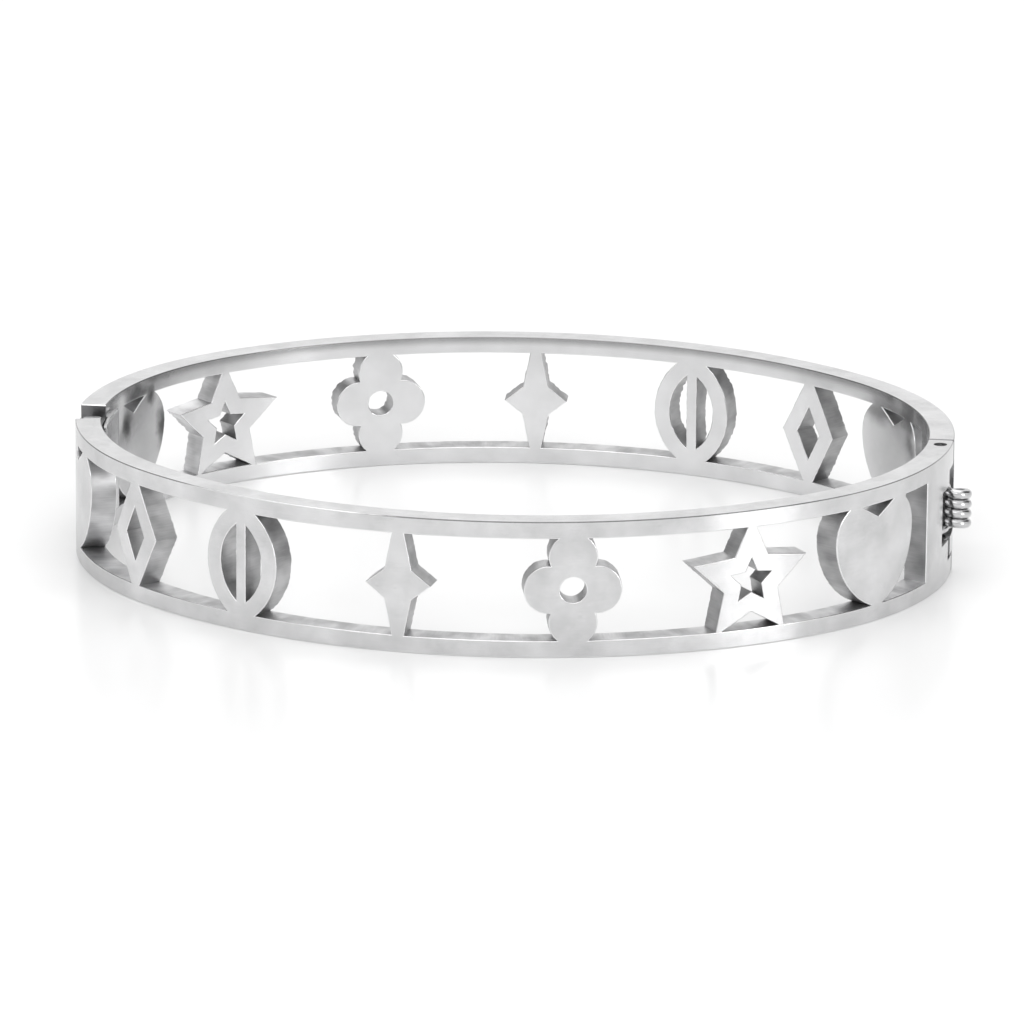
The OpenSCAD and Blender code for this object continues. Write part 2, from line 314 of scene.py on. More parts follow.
def tidyLoop(loop):           # evenly spaced points that keep the corners
    shortest, sharp = band["shortest"], math.radians(band["cornerTurn"])
    pts = [p for i, p in enumerate(loop) if math.dist(p, loop[i - 1]) > 2 * shortest]
    n = len(pts)
    turns = []
    for i in range(n):
        turn = headingOf(pts[i], pts[(i + 1) % n]) - headingOf(pts[i - 1], pts[i])
        turns.append((turn + math.pi) % (2 * math.pi) - math.pi)
    marks = [i for i in range(n) if abs(turns[i]) > sharp] or [0]
    clear = []                # the rounding of a sharp outer corner needs this much bare edge beside it
    for i in marks:
        tip = math.pi - turns[i]
        clear.append(band["bevel"] * band["cornerRoom"] / math.tan(tip / 2) if turns[i] > sharp else 0.0)
    out = []
    for k, i in enumerate(marks):
        j = marks[(k + 1) % len(marks)]
        run = [pts[(i + m) % n] for m in range(((j - i) % n or n) + 1)]
        lengths = [0.0]
        for a, b in zip(run, run[1:]):
            lengths.append(lengths[-1] + math.dist(a, b))
        first, last = clear[k], lengths[-1] - clear[(k + 1) % len(marks)]
        stops = []
        if last > first + 2 * shortest:
            count = max(1, round((last - first) / band["loopStep"]))
            stops = [first + (last - first) * m / count for m in range(count + 1)]
        seg = 0
        for d in [0.0] + [d for d in stops if shortest < d < lengths[-1] - shortest]:
            while lengths[seg + 1] < d:
                seg += 1
            f = (d - lengths[seg]) / max(lengths[seg + 1] - lengths[seg], 1e-9)
            (x1, y1), (x2, y2) = run[seg], run[seg + 1]
            out.append((x1 + (x2 - x1) * f, y1 + (y2 - y1) * f, d == 0.0 and abs(turns[i]) > sharp))
    return out


# A curved plate with broken edges, from flat loops

slotNames = ["outer", "inner", "wall", "edge", "rim", "carved", "seam", "topEdge"]
faceSlots = {name: i for i, name in enumerate(slotNames)}
plateLook = {
    "miter": (5.0, 2.2),          # how far a rounding reaches at outer and inner corners, at most, in bevels
    "outlinePoints": 400,         # a half's outline has more points than this
    "gridStart": (0.2, 0.3),
    "gridRow": 0.85,              # spacing of the grid's rows, in grid steps
    "gridClear": 0.2,             # bare space between the grid and a cut
    "wallRows": (0.22, 0.4, 0.6, 0.78),
    "motifMargin": 0.05,
    "square": 0.95,               # a normal with this share of its length one way faces that way
    "slant": 0.3,
    "broadRipple": (1.3, 0.6),    # waves in a millimetre, and their height
    "fineRipple": (3.6, 1.4),
    "levelRipple": 0.12,          # what level edges keep of the ripple
    "cornerRipple": 0.3,          # what corners keep of it
    "rippleFade": 0.75,           # how much of it is gone at the smoother face
    "rippleShift": (1.7, 0.5),    # how far a half's seed and the depth shift it
    "agree": 0.3,                 # how well a kept normal has to agree with its face
}


def alongLoop(loop):          # a loop's points with what the rounding of its edges needs
    p = np.array([q[:2] for q in loop])
    d = np.roll(p, -1, 0) - p
    lengths = np.linalg.norm(d, axis=1)
    d /= lengths[:, None]
    before = np.roll(d, 1, 0)
    normals = np.stack([d[:, 1], -d[:, 0]], 1)
    both = normals + np.roll(normals, 1, 0)
    size = np.maximum(np.linalg.norm(both, axis=1), 1e-6)
    mean = both / size[:, None]
    outerCorner = before[:, 0] * d[:, 1] - before[:, 1] * d[:, 0] > 0
    reach = np.minimum(2 / size, np.where(outerCorner, *plateLook["miter"]))
    return {
        "points": p,
        "inset": p - mean * (band["bevel"] * reach)[:, None],
        "miter": mean * reach[:, None],
        "normals": normals,
        "corners": [q[2] for q in loop],
        "run": np.concatenate([[0], np.cumsum(lengths)]),
        "outline": areaOf(p.tolist()) > 0 and len(p) > plateLook["outlinePoints"],
    }


def insideMask(q, a, b, batch=1500):      # which points lie inside the edges from a to b
    result = np.zeros(len(q), bool)
    for start in range(0, len(q), batch):
        part = slice(start, start + batch)
        x, y = q[part, 0][:, None], q[part, 1][:, None]
        crosses = (a[:, 1] > y) != (b[:, 1] > y)
        with np.errstate(divide="ignore", invalid="ignore"):
            at = a[:, 0] + (y - a[:, 1]) * (b[:, 0] - a[:, 0]) / (b[:, 1] - a[:, 1])
        result[part] = (crosses & (x < at)).sum(1) % 2 == 1
    return result


def facePlan(pieces, batch=500, weld=1e-6):   # flat triangles between the inset loops
    points, edges = [], []
    for piece in pieces:
        base, n = len(points), len(piece["inset"])
        piece["base"] = base
        points += [Vector(q) for q in piece["inset"]]
        edges += [(base + i, base + (i + 1) % n) for i in range(n)]
    starts = np.array([(v.x, v.y) for v in points])
    stops = np.array([starts[e[1]] for e in edges])
    step = band["gridStep"]
    low, high = starts.min(0) + plateLook["gridStart"], starts.max(0)
    grid = np.array([(x + (0.5 * step if row % 2 else 0), y)
                     for row, y in enumerate(np.arange(low[1], high[1], step * plateLook["gridRow"]))
                     for x in np.arange(low[0], high[0], step)])
    grid = grid[insideMask(grid, starts, stops)]
    near = np.zeros(len(grid))
    for start in range(0, len(grid), batch):
        part = slice(start, start + batch)
        near[part] = np.sqrt(((grid[part, None, :] - starts[None]) ** 2).sum(2)).min(1)
    points += [Vector(q) for q in grid[near > plateLook["gridClear"]]]
    outVerts, _, tris, origin, _, _ = delaunay_2d_cdt(points, edges, [], 0, weld, True)
    plan = np.array([(v.x, v.y) for v in outVerts])
    tris = np.array(tris)
    tris = tris[insideMask(plan[tris].mean(1), starts, stops)]
    one, two, three = (plan[tris[:, k]] for k in range(3))
    cross = (two - one)[:, 0] * (three - one)[:, 1] - (three - one)[:, 0] * (two - one)[:, 1]
    tris[cross < 0] = tris[cross < 0][:, [0, 2, 1]]
    return plan, tris, {k: i for i, sources in enumerate(origin) for k in sources}


def rippleAt(at, depth, seed):
    broad, broadHeight = plateLook["broadRipple"]
    fine, fineHeight = plateLook["fineRipple"]
    bySeed, byDepth = plateLook["rippleShift"]
    wave = broadHeight * noise.noise(Vector((at[0] * broad + seed, at[1] * broad, seed * bySeed)))
    return wave + fineHeight * noise.noise(Vector((at[0] * fine - seed, at[1] * fine, depth * byDepth)))


def outlineSlot(broken, along, up, nearHinge):      # the finish of a strip on a half's outline
    if abs(along) > plateLook["square"]:
        return faceSlots["seam"]
    if broken and up > plateLook["square"]:
        return faceSlots["topEdge"]
    if not broken and abs(up) > plateLook["square"]:
        return faceSlots["rim"]
    return faceSlots["seam" if nearHinge and abs(along) > plateLook["slant"] else "edge"]


def plateMesh(name, loops, look):
    bevel, wall = band["bevel"], band["wall"]
    pieces = [alongLoop(loop) for loop in loops]
    plan, tris, fromInput = facePlan(pieces)
    spans = []
    for motif, centre in look["places"]:
        reach = motifs[motif][2] + plateLook["motifMargin"]
        spans.append((centre - reach, centre + reach, centre))
    knots = [(-halfRun, 0.0)]     # nothing is shifted at the seams
    for low, high, centre in spans:
        knots += [(low, throughShift(low, centre)), (high, throughShift(high, centre))]
    knots.append((halfRun, 0.0))
    knotS, knotShift = zip(*knots)

    def place(s, z, depth):
        for low, high, centre in spans:
            if low <= s <= high:
                shift = throughShift(s, centre)
                break
        else:
            shift = float(np.interp(s, knotS, knotShift))
        x0, y0 = wallPoint(s)
        x1, y1 = wallPoint(s + shift, wall)
        k = depth / wall
        return (x0 + (x1 - x0) * k, y0 + (y1 - y0) * k, z)

    verts, faces, mats, uvs, normals, facing = [], [], [], [], [], []

    def addFace(corners, slot, uv, normal, side):
        faces.append(corners)
        mats.append(slot)
        uvs.extend(uv)
        normals.extend(normal)
        facing.extend([side] * len(corners))

    ofOuter, ofInner = {}, {}
    for i in np.unique(tris).tolist():
        for where, depth in ((ofOuter, 0), (ofInner, wall)):
            where[i] = len(verts)
            verts.append(place(*plan[i], depth))
    turns = [arcAt(s)[3] for s, z in plan]
    outward = np.array([(math.sin(turn), -math.cos(turn), 0.0) for turn in turns])
    for tri in tris.tolist():
        addFace([ofOuter[i] for i in tri], faceSlots["outer"], plan[tri], outward[tri], 0.0)
        back = tri[::-1]
        addFace([ofInner[i] for i in back], faceSlots["inner"], plan[back], -outward[back], 0.0)

    half = bevel * (1 - math.sqrt(0.5))
    soft = 0.7071                 # both shares of a normal half-way round an edge
    # each row of an edge: how far back it lies, its depth, the normal's shares outward and along the cut
    rows = [(bevel, 0, 1, 0), (half, half, soft, soft), (0, bevel, 0, 1)]
    rows += [(0, wall * k, 0, 1) for k in plateLook["wallRows"]]
    rows += [(0, wall - bevel, 0, 1), (half, wall - half, -soft, soft), (bevel, wall, -1, 0)]
    fade, level = plateLook["rippleFade"], plateLook["levelRipple"]
    for piece in pieces:
        p, segN, isCorner, outline = piece["points"], piece["normals"], piece["corners"], piece["outline"]
        n, run = len(p), piece["run"]
        strips = []
        for r, (back, depth, _, _) in enumerate(rows):
            share = depth / wall
            amount = look["rough"] * (1 - fade + fade * share if look["roughInside"] else 1 - fade * share)
            shared = ofOuter if r == 0 else ofInner if r == len(rows) - 1 else {}
            line = []
            for i in range(n):
                at = fromInput.get(piece["base"] + i)
                if at in shared:
                    line.append(shared[at])
                    continue
                q = p[i] - piece["miter"][i] * back
                if not outline:
                    upright = level + (1 - level) * abs(segN[i][0])
                    wave = rippleAt(p[i], depth, look["seed"])
                    kept = plateLook["cornerRipple"] if isCorner[i] else 1
                    q = q + segN[i] * wave * amount * upright * kept
                line.append(len(verts))
                verts.append(place(*q, depth))
            strips.append(line)

        def wallNormal(i, seg, row):
            m = segN[seg] if isCorner[i] else segN[i] + segN[i - 1]
            m = m / np.linalg.norm(m)
            turn = arcAt(p[i][0])[3]
            _, _, lean, up = rows[row]
            x = math.cos(turn) * m[0] * up + math.sin(turn) * lean
            y = math.sin(turn) * m[0] * up - math.cos(turn) * lean
            return (x, y, m[1] * up)

        for r in range(len(rows) - 1):
            broken = r < 2 or r > len(rows) - 4
            top, foot = rows[r][1], rows[r + 1][1]
            for i in range(n):
                j = (i + 1) % n
                slot = faceSlots["edge" if broken else "wall"]
                if outline:
                    slot = outlineSlot(broken, *segN[i], p[i][0] * look["hingeSide"] > 0)
                addFace([strips[r][i], strips[r + 1][i], strips[r + 1][j], strips[r][j]], slot,
                        [(run[i], top), (run[i], foot), (run[i + 1], foot), (run[i + 1], top)],
                        [wallNormal(i, i, r), wallNormal(i, i, r + 1),
                         wallNormal(j, i, r + 1), wallNormal(j, i, r)],
                        segN[i][0])
    return name, verts, faces, mats, uvs, normals, facing


def addObject(name, data):
    obj = bpy.data.objects.new(name, data)
    bpy.context.scene.collection.objects.link(obj)
    return obj


def toObject(data, turned, slots):
    name, verts, faces, mats, uvs, normals, facing = data
    points = np.array(verts)
    normals = np.array(normals)
    if turned:
        points[:, :2] *= -1
        normals[:, :2] *= -1
    points[:, 0] += band["moveX"]
    mesh = bpy.data.meshes.new(name)
    mesh.from_pydata((points * mm).tolist(), [], faces)
    mesh.polygons.foreach_set("material_index", mats)
    mesh.polygons.foreach_set("use_smooth", [True] * len(faces))
    layer = mesh.uv_layers.new(name="bandMap")
    layer.uv.foreach_set("vector", np.array(uvs, np.float32).ravel())
    kept = mesh.attributes.new("shadeNormal", "FLOAT_VECTOR", "CORNER")
    kept.data.foreach_set("vector", normals.astype(np.float32).ravel())
    side = mesh.attributes.new("facing", "FLOAT", "CORNER")
    side.data.foreach_set("value", np.array(facing, np.float32))
    for slot in slots:
        mesh.materials.append(slot)
    mesh.update()
    return addObject(name, mesh)


def inMetres(verts):
    return [((x + band["moveX"]) * mm, y * mm, z * mm) for x, y, z in verts]


def prism(points, z0, z1):    # an upright block from plan points in the band's own millimetres
    n = len(points)
    if areaOf(points) < 0:
        points = points[::-1]
    verts = [(x, y, z) for z in (z0, z1) for x, y in points]
    sides = [[i, (i + 1) % n, n + (i + 1) % n, n + i] for i in range(n)]
    return verts, [list(range(n))[::-1], list(range(n, 2 * n))] + sides


def cutter(points, z0, z1):
    verts, faces = prism(points, z0, z1)
    mesh = bpy.data.meshes.new("cutter")
    mesh.from_pydata(inMetres(verts), [], faces)
    mesh.polygons.foreach_set("material_index", [faceSlots["carved"]] * len(faces))
    mesh.update()
    return addObject("cutter", mesh)


def carve(obj, cutters):
    for tool in cutters:
        for slot in obj.data.materials:
            tool.data.materials.append(slot)
        step = obj.modifiers.new("carve", "BOOLEAN")
        step.operation = "DIFFERENCE"
        step.object = tool
        step.solver = "EXACT"
        step.material_mode = "INDEX"
    depsgraph = bpy.context.evaluated_depsgraph_get()
    old = obj.data
    mesh = bpy.data.meshes.new_from_object(
        obj.evaluated_get(depsgraph), preserve_all_data_layers=True, depsgraph=depsgraph)
    obj.modifiers.clear()
    obj.data = mesh
    bpy.data.meshes.remove(old)
    for tool in cutters:
        data = tool.data
        bpy.data.objects.remove(tool)
        bpy.data.meshes.remove(data)


def faceValues(mesh, key, kind, width=1):
    values = np.zeros(len(mesh.polygons) * width, kind)
    mesh.polygons.foreach_get(key, values)
    return values


def shade(obj):               # normals as the smooth surface has them, and flat ones on what was carved
    mesh = obj.data
    kept = np.zeros(len(mesh.loops) * 3, np.float32)
    mesh.attributes["shadeNormal"].data.foreach_get("vector", kept)
    kept = kept.reshape(-1, 3)
    totals = faceValues(mesh, "loop_total", np.int32)
    flat = np.repeat(faceValues(mesh, "normal", np.float32, 3).reshape(-1, 3), totals, 0)
    carved = np.repeat(faceValues(mesh, "material_index", np.int32) == faceSlots["carved"], totals)
    size = np.linalg.norm(kept, axis=1)
    agrees = (kept * flat).sum(1) > plateLook["agree"] * size
    use = (size > 0.5) & ~carved & agrees
    final = np.where(use[:, None], kept / np.maximum(size, 1e-6)[:, None], flat)
    mesh.polygons.foreach_set("use_smooth", [True] * len(mesh.polygons))
    mesh.normals_split_custom_set(final.tolist())
    mesh.attributes.remove(mesh.attributes["shadeNormal"])
    mesh.update()


# The finishes

def coolGrey(tone):
    return (tone, tone, tone + 0.005, 1)


def toned(colour, share):
    return tuple(min(1, c * share) for c in colour[:3]) + (1,)


def newMaterial(name, metallic=1.0):
    mat = bpy.data.materials.new(name)
    mat.use_nodes = True
    shader = mat.node_tree.nodes["Principled BSDF"]
    shader.inputs["Metallic"].default_value = metallic
    return mat, mat.node_tree, shader


def setInputs(tree, node, inputs):        # each input takes a value or another node's output
    for key, value in inputs.items():
        if isinstance(value, bpy.types.NodeSocket):
            tree.links.new(value, node.inputs[key])
        else:
            node.inputs[key].default_value = value


def addNode(tree, kind, inputs, **settings):
    node = tree.nodes.new("ShaderNode" + kind)
    for key, value in settings.items():
        setattr(node, key, value)
    setInputs(tree, node, inputs)
    return node


def bandMap(tree):
    return addNode(tree, "UVMap", {}, uv_map="bandMap").outputs["UV"]


def objectPlace(tree):
    return addNode(tree, "TexCoord", {}).outputs["Object"]


def axesOf(tree, vector):
    return addNode(tree, "SeparateXYZ", {0: vector}).outputs


def stretched(tree, vector, scale, shift=(0, 0, 0)):
    return addNode(tree, "Mapping", {"Vector": vector, "Location": shift, "Scale": scale}).outputs["Vector"]


def noiseOf(tree, vector, scale, detail, roughness, output="Fac"):
    inputs = {"Vector": vector, "Scale": scale, "Detail": detail, "Roughness": roughness}
    return addNode(tree, "TexNoise", inputs).outputs[output]


def mathOf(tree, operation, *values):
    return addNode(tree, "Math", dict(enumerate(values)), operation=operation).outputs[0]


def vectorOf(tree, operation, *values):
    return addNode(tree, "VectorMath", dict(enumerate(values)), operation=operation).outputs


def blended(tree, a, b, share):
    return mathOf(tree, "MULTIPLY_ADD", a, share, mathOf(tree, "MULTIPLY", b, 1 - share))


def ranged(tree, value, span, result=(0.0, 1.0), kind="LINEAR"):      # takes span to result
    (start, stop), (low, high) = span, result
    inputs = {"Value": value, "From Min": start, "From Max": stop, "To Min": low, "To Max": high}
    return addNode(tree, "MapRange", inputs, interpolation_type=kind).outputs["Result"]


def dimmed(tree, colour, share):
    return addNode(tree, "VectorMath", {0: colour, "Scale": share}, operation="SCALE").outputs[0]


def rampOf(tree, value, stops):           # stops are places and colours, from low to high
    node = addNode(tree, "ValToRGB", {"Fac": value})
    elements = node.color_ramp.elements
    for i, (at, colour) in enumerate(stops):
        if i in (0, len(stops) - 1):
            stop = elements[0 if i == 0 else len(elements) - 1]
        else:
            stop = elements.new(at)
        stop.position = at
        stop.color = colour
    return node.outputs["Color"]


def bumped(tree, height, strength, distance, under=None):
    inputs = {"Height": height, "Strength": strength, "Distance": distance}
    if under:
        inputs["Normal"] = under
    return addNode(tree, "Bump", inputs).outputs["Normal"]


satinLook = {
    "colour": coolGrey(0.69),
    "rough": (0.2, 0.3),
    "brush": 0.05,
    "pits": 0.12,
    "mottle": 0.21,
    "endPolish": 1.0,             # roughness at the ends of a half, as a share
    "paintedEdgeReflection": (1.0, 1.0),      # painted reflection: tone below the top edge and at it
    "marks": [],                  # painted dark reflections: place along and up, half width, half height, depth
}
satinGrain = {
    "brushStretch": (0.55, 26, 1),
    "brushShare": 0.28,
    "cloudScale": 330.0,
    "pitScale": 620.0,
    "pitWidth": (0.03, 0.11),
    "contrast": (0.33, 0.67),
    "lighter": 0.4,               # how much of the mottle goes to the light side
    "paintedReflectionWarp": (1.5, 1.1, 0),    # how far the painted reflections wander
    "paintedReflectionFade": (0.15, 1.55),
    "paintedEdgeReflection": (9.25, 9.92),    # heights where that painted reflection tone begins and ends
    "ends": (26.0, 34.0),
    "relief": 0.00004,
}


def steelFace(name, look, seed):
    mat, tree, shader = newMaterial(name)
    grain, colour, uv = satinGrain, look["colour"], bandMap(tree)
    along, up, _ = axesOf(tree, uv)
    brushVector = stretched(tree, uv, grain["brushStretch"], (seed, seed * 0.7, 0))
    brush = noiseOf(tree, brushVector, scale=1.0, detail=4.0, roughness=0.65)
    cloud = noiseOf(tree, objectPlace(tree), scale=grain["cloudScale"], detail=5.0, roughness=0.6)
    pits = addNode(tree, "TexVoronoi", {"Vector": objectPlace(tree), "Scale": grain["pitScale"]})
    pitDepth = ranged(tree, pits.outputs["Distance"], grain["pitWidth"])
    mixed = blended(tree, brush, cloud, grain["brushShare"])
    low, high = 1 - look["mottle"], 1 + look["mottle"] * grain["lighter"]
    tone = rampOf(tree, mixed, list(zip(grain["contrast"], (toned(colour, low), toned(colour, high)))))
    # painted reflections: soft dark marks that darken the colour where the metal would mirror dark things
    if look["marks"]:
        warp = noiseOf(tree, uv, scale=0.75, detail=2.0, roughness=0.5, output="Color")
        pushed = vectorOf(tree, "MULTIPLY_ADD", warp, grain["paintedReflectionWarp"], uv)[0]
    for s, z, wide, tall, depth in look["marks"]:
        s, z = s + grain["paintedReflectionWarp"][0] / 2, z + grain["paintedReflectionWarp"][1] / 2
        local = vectorOf(tree, "MULTIPLY_ADD", pushed, (1 / wide, 1 / tall, 0), (-s / wide, -z / tall, 0))[0]
        far = vectorOf(tree, "LENGTH", local)["Value"]
        tone = dimmed(tree, tone, ranged(tree, far, grain["paintedReflectionFade"], (1 - depth, 1.0), "SMOOTHSTEP"))
    # painted reflection: the tone changes toward the top edge
    tone = dimmed(tree, tone, ranged(tree, up, grain["paintedEdgeReflection"], look["paintedEdgeReflection"], "SMOOTHSTEP"))
    ends = ranged(tree, mathOf(tree, "ABSOLUTE", along), grain["ends"], (1.0, look["endPolish"]))
    brushed = bumped(tree, brush, look["brush"], grain["relief"])
    setInputs(tree, shader, {
        "Base Color": tone,
        "Roughness": mathOf(tree, "MULTIPLY", ranged(tree, mixed, (0.0, 1.0), look["rough"]), ends),
        "Normal": bumped(tree, pitDepth, look["pits"], grain["relief"], brushed),
    })
    return mat


cutLook = {
    "dark": coolGrey(0.4),
    "light": coolGrey(0.72),
    "contrast": (0.36, 0.64),
    "rough": (0.48, 0.3),
    "lineStretch": (9, 0.5, 1),
    "lineShare": 0.22,
    "patchStretch": (0.55, 0.35, 1),
    "striation": 0.3,
    "relief": 0.00005,
    "sides": (0.76, 0.98),        # painted shade: tones of walls that face along the band, darker back than forth
    "paintedLedgeLight": ((0.5, 0.95), (1.0, 1.35)),      # painted light: walls that face up are lighter; how far up a wall faces, and its tones
    "ends": ((22, 29), (0.84, 1.15)),         # distances from the middle, and tones there
}


def cutSteel(name, look):
    mat, tree, shader = newMaterial(name)
    uv = bandMap(tree)
    lines = noiseOf(tree, stretched(tree, uv, look["lineStretch"]), scale=1.0, detail=5.0, roughness=0.7)
    patches = noiseOf(tree, stretched(tree, uv, look["patchStretch"]), scale=1.0, detail=2.0, roughness=0.5)
    mixed = blended(tree, lines, patches, look["lineShare"])
    tone = rampOf(tree, mixed, list(zip(look["contrast"], (look["dark"], look["light"]))))
    # painted shade: which way a wall faces along the band sets how dark it is
    facing = addNode(tree, "Attribute", {}, attribute_name="facing").outputs["Fac"]
    normal = addNode(tree, "NewGeometry", {}).outputs["Normal"]
    sides = ranged(tree, facing, (-1.0, 1.0), look["sides"])
    # painted light: walls facing up get a lighter tone
    paintedLedgeLight = ranged(tree, axesOf(tree, normal)["Z"], *look["paintedLedgeLight"])
    away = mathOf(tree, "ABSOLUTE", axesOf(tree, objectPlace(tree))["X"])
    ends = ranged(tree, away, [x * mm for x in look["ends"][0]], look["ends"][1])
    share = mathOf(tree, "MULTIPLY", mathOf(tree, "MULTIPLY", sides, ends), paintedLedgeLight)
    setInputs(tree, shader, {
        "Base Color": dimmed(tree, tone, share),
        "Roughness": ranged(tree, lines, (0.0, 1.0), look["rough"]),
        "Normal": bumped(tree, lines, look["striation"], look["relief"]),
    })
    return mat


brightLooks = {
    "brokenEdgeSteel": {"colour": coolGrey(0.8), "rough": (0.1, 0.2), "scale": 900.0},
    "machinedSteel": {"colour": coolGrey(0.5), "rough": (0.22, 0.36), "scale": 1500.0},
    "springWire": {"colour": coolGrey(0.6), "rough": (0.14, 0.22), "scale": 2200.0},
    "seamSteel": {"colour": coolGrey(0.2), "rough": (0.3, 0.4), "scale": 1500.0},
}
brightGrain = {"tones": (0.85, 1.08), "strength": 0.06, "relief": 0.00003}


def brightSteel(name):
    mat, tree, shader = newMaterial(name)
    look = brightLooks[name]
    grain = noiseOf(tree, objectPlace(tree), scale=look["scale"], detail=3.0, roughness=0.6)
    darker, lighter = (toned(look["colour"], share) for share in brightGrain["tones"])
    setInputs(tree, shader, {
        "Base Color": rampOf(tree, grain, [(0.0, darker), (1.0, lighter)]),
        "Roughness": ranged(tree, grain, (0.0, 1.0), look["rough"]),
        "Normal": bumped(tree, grain, brightGrain["strength"], brightGrain["relief"]),
    })
    return mat


topEdgeLook = {
    # painted highlights and reflections: bright and dark stretches along the top edge, by place along the
    # band
    "tones": [(-33, 0.5), (-22, 0.5), (-20, 0.85), (-8.5, 0.85), (-6, 0.2), (23, 0.2), (26, 0.5), (33, 0.5)],
    # painted reflection: the inner side of the top edge is dark
    "inside": (0.27, 0.27, 0.27, 1),
    "insideDepth": 1.0,
    "rough": 0.16,
    "ragged": 5.0,                # how far a change of tone wanders along
    "raggedScale": 420.0,
}


def topEdgeSteel(name, look):     # the broken top edge, with painted highlights and reflections whose tone changes along the band
    mat, tree, shader = newMaterial(name)
    place = objectPlace(tree)
    ragged = noiseOf(tree, place, scale=look["raggedScale"], detail=4.0, roughness=0.65)
    shifted = mathOf(tree, "MULTIPLY_ADD", ragged, look["ragged"] * mm, axesOf(tree, place)["X"])
    low, high = look["tones"][0][0], look["tones"][-1][0]
    along = ranged(tree, shifted, [(x + look["ragged"] / 2) * mm for x in (low, high)])
    stops = [((x - low) / (high - low), (tone, tone, tone * 1.005, 1)) for x, tone in look["tones"]]
    inside = mathOf(tree, "GREATER_THAN", axesOf(tree, bandMap(tree))["Y"], look["insideDepth"])
    picked = addNode(tree, "Mix", {"Factor": inside, 6: rampOf(tree, along, stops), 7: look["inside"]},
                     data_type="RGBA")
    setInputs(tree, shader, {"Base Color": picked.outputs[2], "Roughness": look["rough"]})
    return mat


innerLook = {
    **satinLook,
    "colour": coolGrey(0.7),
    "rough": (0.17, 0.24),
    "brush": 0.0,
    "pits": 0.04,
    "mottle": 0.12,
    "endPolish": 0.75,
    # painted reflection: darker along the top edge, a little lighter below it
    "paintedEdgeReflection": (1.08, 0.58),
    # painted dark reflections near the ends of the inner faces and along the rails
    "marks": [(41.2, 7.2, 0.8, 1.2, 0.82), (39.4, 9.2, 1.7, 0.6, 0.75), (35.9, 6.1, 0.75, 1.6, 0.8),
              (44.9, 8.4, 1.0, 1.0, 0.65), (37.4, 8.5, 0.5, 0.7, 0.7), (37.5, 5.0, 5.0, 5.5, 0.3),
              (31.0, 9.5, 7.0, 0.9, 0.25), (-31.2, 8.3, 2.2, 0.8, 0.5), (-35.6, 8.8, 1.9, 0.9, 0.5),
              (-38.0, 9.3, 3.6, 1.1, 0.45), (-42.0, 5.0, 1.5, 5.0, 0.35), (-26.0, 9.5, 7.0, 0.8, 0.22),
              (-32.6, 8.9, 2.6, 0.9, 0.3), (-33.2, 5.4, 3.8, 4.0, 0.26)],
}
rimLook = {**satinLook, "colour": coolGrey(0.78)}
finishes = {
    "outer": steelFace("satinOuterFace", satinLook, 3.0),
    "inner": steelFace("polishedInnerFace", innerLook, 11.0),
    "wall": cutSteel("cutWallSteel", cutLook),
    "edge": brightSteel("brokenEdgeSteel"),
    "rim": steelFace("satinRim", rimLook, 21.0),
    "carved": brightSteel("machinedSteel"),
    "seam": brightSteel("seamSteel"),
    "topEdge": topEdgeSteel("topEdgeSteel", topEdgeLook),
}
springSteel = brightSteel("springWire")
bandSlots = [finishes[name] for name in slotNames]
print("finishes made")

# The two halves

hinge = {
    "x": band["length"] / 2 - 0.9,
    "y": -1.3,
    "seatR": 1.07,                # the round seat that the knuckles turn in
    "seatY": 1.5,
    "knuckleR": 0.95,
    "knuckleReach": 2.4,          # past the seam
    "knuckleSlack": 0.1,          # above and below the knuckles
    "knuckleCutZ": (0.5, 9.2),
    "pinR": 0.475,
    "pinSlack": (0.015, 0.05),    # round the pins, in the ears and in the knuckles
    "pinBore": (0.8, 8.6),        # heights of the bore in the knuckles
    "earR": 1.3,
    "earOverlap": 0.03,
    "earZ": (1.45, 8.35),
    "pocketZ": (3.05, 7.15),      # the room for the coil
    "pocketDepth": 1.3,
    "pocketY": (-4.4, -1.29),
    "roomR": 2.35,                # what the coil sweeps out of the back half
    "roomSkin": 0.55,
    "recess": 0.28,               # the set-back faces above and below the coil
    "recessY": (-2.25, 1),
    "recessOverlap": 0.2,
}
clasp = {
    "notchLength": 4.1,
    "notchDepth": 0.95,
    "tongueX": -(band["length"] / 2 - 0.95) + 0.2,
    "tongueZ": (3.05, 8.2),
    "slotHalf": 0.42,
    "slotY": (-4.0, 1),
    "slotZ": (2.9, 9.1),
}
frontLook = {
    "places": [("heart", -39.6), ("lozenge", -28.2), ("leaf", -17.3), ("slimStar", -4.8),
               ("quatrefoil", 7.75), ("star", 21.0), ("heart", 32.5)],
    "cut": (-40.4, 39.25),        # where the pierced row begins and ends
    "chamfers": {2: 0.1, 3: 0.07, 5: 0.07},   # by the corner's number in the outline
    "rough": 0.04,                # height of the ripple in the cut walls
    "roughInside": True,
    "seed": 4.2,
    "hingeSide": 1,
}
backLook = {
    "places": [("heart", -33.4), ("lozenge", -22.6), ("leaf", -11.4), ("slimStar", 1.7),
               ("quatrefoil", 14.4), ("star", 28.3), ("heart", 39.9)],
    "cut": (-39.7, 43.9),
    "chamfers": {2: 0.07, 3: 0.1},
    "rough": 0.1,
    "roughInside": False,
    "seed": 9.1,
    "hingeSide": -1,
}
h = band["height"]
px, py = hinge["x"], hinge["y"]
past = 3                          # how far the cutters reach past the metal
through = (-1, h + 1)


def planArc(r, start, stop, count):       # round the hinge's axis
    return [(px + r * math.cos(a), py + r * math.sin(a)) for a in np.linspace(start, stop, count)]


